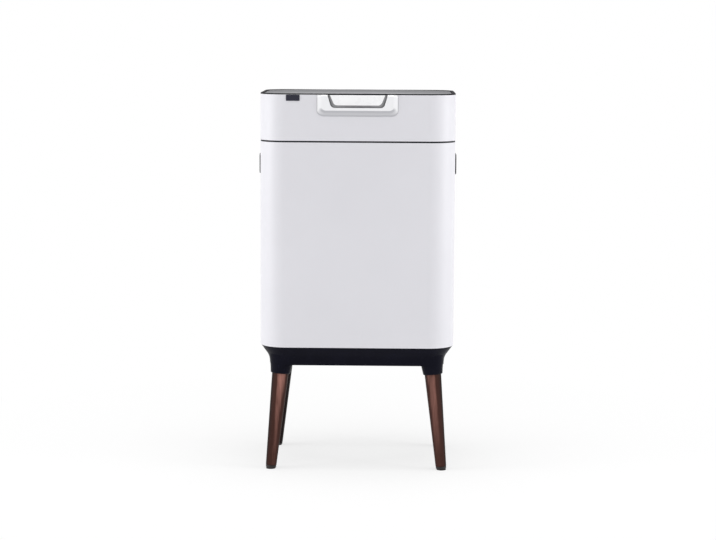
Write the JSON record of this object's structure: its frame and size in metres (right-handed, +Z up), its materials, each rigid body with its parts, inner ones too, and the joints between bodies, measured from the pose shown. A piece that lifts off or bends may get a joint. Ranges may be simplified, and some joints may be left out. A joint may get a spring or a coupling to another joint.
{
  "type": "push-open bin on legs",
  "caption": "Floor-standing kitchen bin with a white steel body on splayed wooden legs, a lift-off hood, a push-open damped lid and an inner bucket.",
  "frame": {"origin": "on the floor, under the middle of the body", "axes": "+Z up, -Y towards the front with the push pad, +X to the right seen from the front"},
  "size_m": [0.365, 0.2498, 0.7018],
  "materials": {
    "white_steel": "smooth white powder coat, low gloss",
    "dark_trim": "fine-grained dark plastic",
    "tray_plastic": "satin black plastic",
    "zinc_steel": "zinc-plated steel",
    "brass_insert": "turned brass",
    "walnut": "stained hardwood, satin lacquer",
    "glide_plastic": "dark nylon",
    "bucket_plastic": "dark grey polypropylene",
    "bail_wire": "bright steel wire",
    "grip_plastic": "black plastic",
    "silver_bezel": "satin silver",
    "pad_border": "grey plastic",
    "pad_white": "white plastic",
    "spring_steel": "bright spring steel",
    "acetal": "natural acetal",
    "lid_steel": "fine brushed steel",
    "liner_plastic": "fine-grained black plastic",
    "bumper_rubber": "soft black rubber"
  },
  "bodies": {
    "bin": {"body_shell": "white_steel", "seam_ring": "dark_trim", "base_tray": "tray_plastic", "floor_pan": "zinc_steel", "base_screws": "zinc_steel", "leg_front_left": "walnut", "leg_front_right": "walnut", "leg_rear_left": "walnut", "leg_rear_right": "walnut", "leg_studs": "zinc_steel", "stud_inserts": "brass_insert", "foot_glides": "glide_plastic", "glide_nails": "zinc_steel", "side_grip_left": "dark_trim", "side_grip_right": "dark_trim"},
    "bucket": {"bucket": "bucket_plastic"},
    "bail": {"bail": "bail_wire", "bail_grip": "grip_plastic"},
    "hood": {"hood_shell": "white_steel", "hood_frame": "dark_trim", "blank_plate": "dark_trim", "bezel": "silver_bezel", "bezel_screws": "zinc_steel", "pad_springs": "spring_steel", "latch_pin": "zinc_steel", "latch_spring": "spring_steel", "hinge_pin": "zinc_steel", "lid_springs": "spring_steel", "damper_housing": "dark_trim", "damper_screws": "zinc_steel", "lid_bumpers": "bumper_rubber"},
    "lid": {"lid_panel": "lid_steel", "lid_liner": "liner_plastic", "lid_keeper": "spring_steel", "keeper_screws": "zinc_steel"},
    "pad": {"push_pad_carrier": "pad_border", "push_pad_cover": "pad_white"},
    "latch": {"latch_rocker": "acetal"},
    "damper": {"damper_gear": "acetal"}
  },
  "joints": [
    {"name": "hood_lift", "type": "slide", "parent": "bin", "child": "hood", "axis": [0, 0, 1], "range_m": [0, 0.65]},
    {"name": "bucket_lift", "type": "slide", "parent": "bin", "child": "bucket", "axis": [0, 0, 1], "range_m": [0, 0.4]},
    {"name": "bail_swing", "type": "hinge", "parent": "bucket", "child": "bail", "pos_m": [0, 0, 0.568], "axis": [1, 0, 0], "range_deg": [0, 180]},
    {"name": "lid_hinge", "type": "hinge", "parent": "hood", "child": "lid", "pos_m": [0, 0.098, 0.692], "axis": [-1, 0, 0], "range_deg": [0, 85], "deforming": ["lid_keeper"]},
    {"name": "damper_spin", "type": "hinge", "parent": "hood", "child": "damper", "pos_m": [0.1085, 0.098, 0.671], "axis": [-1, 0, 0], "range_deg": [-215, 0]},
    {"name": "pad_push", "type": "slide", "parent": "hood", "child": "pad", "axis": [0, 1, 0], "range_m": [0, 0.004], "stiffness_N_per_m": 900, "deforming": ["pad_springs", "latch_spring"]},
    {"name": "latch_swing", "type": "hinge", "parent": "hood", "child": "latch", "pos_m": [0, -0.1015, 0.668], "axis": [-1, 0, 0], "range_deg": [0, 20]}
  ],
  "couplings": [
    {"joint": "bucket_lift", "follows": "hood_lift", "ratio": 0.6},
    {"joint": "damper_spin", "follows": "lid_hinge", "ratio": -2.5},
    {"joint": "latch_swing", "follows": "pad_push", "rad_per_m": 80}
  ]
}
